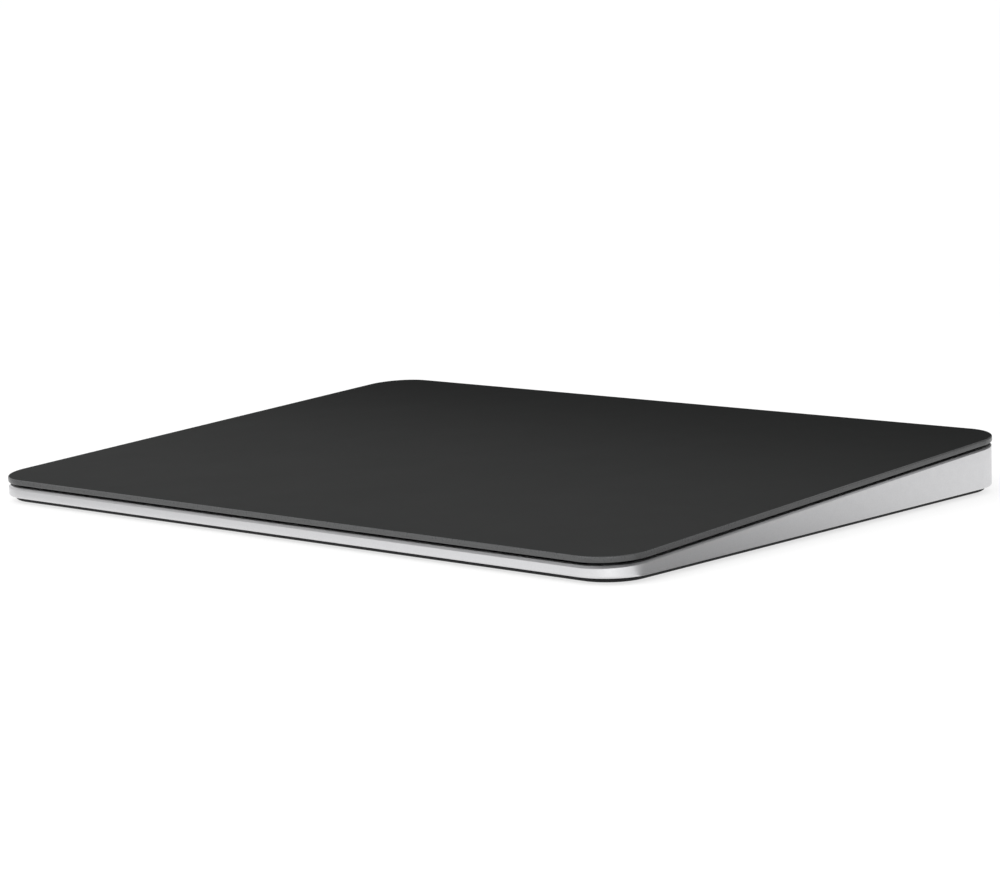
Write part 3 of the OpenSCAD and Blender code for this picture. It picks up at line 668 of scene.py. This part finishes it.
def floor_material():
    material = bpy.data.materials.new("white_sweep")
    material.use_nodes = True
    tree = material.node_tree
    tree.nodes.remove(tree.nodes["Principled BSDF"])
    output = tree.nodes["Material Output"]
    plain = tree.nodes.new("ShaderNodeBsdfDiffuse")
    plain.inputs["Color"].default_value = (0.8, 0.8, 0.8, 1)
    lit = tree.nodes.new("ShaderNodeBsdfDiffuse")
    grain = tree.nodes.new("ShaderNodeTexNoise")
    grain.inputs["Scale"].default_value = 900
    tone = tree.nodes.new("ShaderNodeMapRange")
    rest = 1 - stage().floor_glow
    tone.inputs["To Min"].default_value = rest
    tone.inputs["To Max"].default_value = rest * FLOOR_GRAIN
    tree.links.new(grain.outputs["Fac"], tone.inputs["Value"])
    tree.links.new(tone.outputs["Result"], lit.inputs["Color"])
    glow = tree.nodes.new("ShaderNodeEmission")
    glow.inputs["Strength"].default_value = stage().floor_glow
    both = tree.nodes.new("ShaderNodeAddShader")
    tree.links.new(lit.outputs[0], both.inputs[0])
    tree.links.new(glow.outputs[0], both.inputs[1])
    mix = tree.nodes.new("ShaderNodeMixShader")
    tree.links.new(backdrop_rays(tree), mix.inputs["Fac"])
    tree.links.new(plain.outputs[0], mix.inputs[1])
    tree.links.new(both.outputs[0], mix.inputs[2])
    tree.links.new(mix.outputs[0], output.inputs["Surface"])
    return material


def add_camera():
    place = stage()
    az, el, roll = place.azimuth, place.elevation, place.roll
    back = Vector((math.sin(az) * math.cos(el), -math.cos(az) * math.cos(el), math.sin(el)))
    right = (-back).cross(Vector((0, 0, 1))).normalized()
    up = right.cross(-back)
    across = right * math.cos(roll) + up * math.sin(roll)
    upward = up * math.cos(roll) - right * math.sin(roll)
    camera = bpy.data.objects.new("camera", bpy.data.cameras.new("camera"))
    bpy.context.scene.collection.objects.link(camera)
    turn = Matrix((across, upward, back)).transposed().to_4x4()
    camera.matrix_world = Matrix.Translation(Vector(place.target) + back * place.distance) @ turn
    camera.data.sensor_fit = "HORIZONTAL"
    camera.data.sensor_width = SENSOR_MM
    camera.data.lens = place.focal_px * SENSOR_MM / PHOTO_WIDTH_PX
    camera.data.clip_start = CLIP_START
    bpy.context.scene.camera = camera


def card_material(name, start, end, along):
    """A glow that runs from one tone to another along a card's own X or Y axis."""
    material = bpy.data.materials.new(name)
    material.use_nodes = True
    tree = material.node_tree
    tree.nodes.remove(tree.nodes["Principled BSDF"])
    place = tree.nodes.new("ShaderNodeTexCoord")
    axes = tree.nodes.new("ShaderNodeSeparateXYZ")
    tone = tree.nodes.new("ShaderNodeMapRange")
    tone.interpolation_type = "SMOOTHSTEP"
    for socket, value in (("From Min", -0.5), ("From Max", 0.5), ("To Min", start), ("To Max", end)):
        tone.inputs[socket].default_value = value
    glow = tree.nodes.new("ShaderNodeEmission")
    tree.links.new(place.outputs["Object"], axes.inputs[0])
    tree.links.new(axes.outputs[along], tone.inputs["Value"])
    tree.links.new(tone.outputs["Result"], glow.inputs["Strength"])
    tree.links.new(glow.outputs[0], tree.nodes["Material Output"].inputs["Surface"])
    return material


def add_card(name, centre, width, height, facing, start, end, along):
    """A studio card that shapes the reflections; it faces along a direction."""
    deselect()
    bpy.ops.mesh.primitive_plane_add(size=1.0)
    card = name_piece(name)
    card.scale = (width, height, 1)
    card.location = centre
    card.rotation_euler = Vector(facing).to_track_quat("Z", "Y").to_euler()
    card.data.materials.append(card_material(name, start, end, along))
    card.visible_camera = card.visible_diffuse = card.visible_shadow = False


def add_lamp(name, watts, size, centre, aim):
    """A square soft lamp that looks at a point."""
    lamp = bpy.data.lights.new(name, "AREA")
    lamp.energy = watts
    lamp.size = size
    soft = bpy.data.objects.new(name, lamp)
    bpy.context.scene.collection.objects.link(soft)
    soft.location = centre
    soft.rotation_euler = (Vector(aim) - Vector(centre)).to_track_quat("-Z", "Y").to_euler()


# Cards that grade what the glass and the metal reflect, in metres: name, centre, width, height, facing, the
# tones of two ends and the card's own axis between them. Only reflections see them.
CARDS = (
    ("top_card", (0, 0, 0.35), 1.2, 1.2, (0, 0, -1), 0.2, 0.2, "X"),
    ("rear_card", (-0.35, 0.4, 0.2), 1.1, 0.4, (0, -1, 0), 0.52, 0.52, "X"),
    ("rear_flag", (0, 0.062, 0.04), 0.42, 0.06, (0, -1, 0), 0.09, 1.0, "Y"),
    ("left_card", (-0.28, -0.1, 0.15), 0.35, 0.3, (1, 0, 0), 0.7, 0.85, "X"),
    ("left_floor", (-0.045, -0.13, 0.001), 0.25, 0.14, (0, 0, 1), 1.0, 0.6, "X"),
    ("side_floor", (0.149, 0.007, 0.001), 0.139, 0.116, (0, 0, 1), 1.0, 0.32, "Y"),
    ("side_card", (0.22, 0.055, 0.1), 0.15, 0.2, (-1, 0, 0), 0.8, 0.15, "X"),
)

# Soft lamps, in metres: name, watts, size, centre and aim
LAMPS = (
    ("front_lamp", 0.9, 0.4, (-0.05, -0.4, 0.3), (0, 0, 0)),
    ("corner_lamp", 0.3, 0.2, (0.32, -0.36, 0.12), (0.07, -0.05, 0)),
)


class TRACKPAD_OT_stage(bpy.types.Operator):
    """Sets the white floor, the soft light and the camera"""

    bl_idname = "trackpad.stage"
    bl_label = "Stage"

    def execute(self, context):
        context.scene.view_settings.view_transform = "Standard"
        white_world()
        deselect()
        bpy.ops.mesh.primitive_plane_add(size=FLOOR_WIDTH)
        floor = name_piece("floor")
        floor.data.materials.append(floor_material())
        for card in CARDS:
            add_card(*card)
        for lamp in LAMPS:
            add_lamp(*lamp)
        add_camera()
        return {"FINISHED"}


class TRACKPAD_PT_panel(bpy.types.Panel):
    """Lists the trackpad's pieces and settings"""

    bl_idname = "TRACKPAD_PT_panel"
    bl_label = "Trackpad"
    bl_space_type = "VIEW_3D"
    bl_region_type = "UI"
    bl_category = "Trackpad"

    def draw(self, context):
        for group in (sizes(), finishes(), stage()):
            box = self.layout.box()
            for key in group.__annotations__:
                box.prop(group, key)
        for step in STEPS:
            self.layout.operator(step.bl_idname)


STEPS = (
    TRACKPAD_OT_touch_glass,
    TRACKPAD_OT_shell,
    TRACKPAD_OT_base_cover,
    TRACKPAD_OT_feet,
    TRACKPAD_OT_charge_socket,
    TRACKPAD_OT_inner_parts,
    TRACKPAD_OT_stage,
)
GROUPS = {
    "trackpad_sizes": TrackpadSizes,
    "trackpad_finishes": TrackpadFinishes,
    "trackpad_stage": TrackpadStage,
}


def register():
    for item in (*GROUPS.values(), *STEPS, TRACKPAD_PT_panel):
        bpy.utils.register_class(item)
    for name, group in GROUPS.items():
        setattr(bpy.types.Scene, name, bpy.props.PointerProperty(type=group))


def unregister():
    for name in GROUPS:
        delattr(bpy.types.Scene, name)
    for item in reversed((*GROUPS.values(), *STEPS, TRACKPAD_PT_panel)):
        bpy.utils.unregister_class(item)


def main():
    register()
    bpy.ops.trackpad.touch_glass()
    bpy.ops.trackpad.shell()
    bpy.ops.trackpad.base_cover()
    bpy.ops.trackpad.feet()
    bpy.ops.trackpad.charge_socket()
    bpy.ops.trackpad.inner_parts()
    bpy.ops.trackpad.stage()


if __name__ == "__main__":
    main()
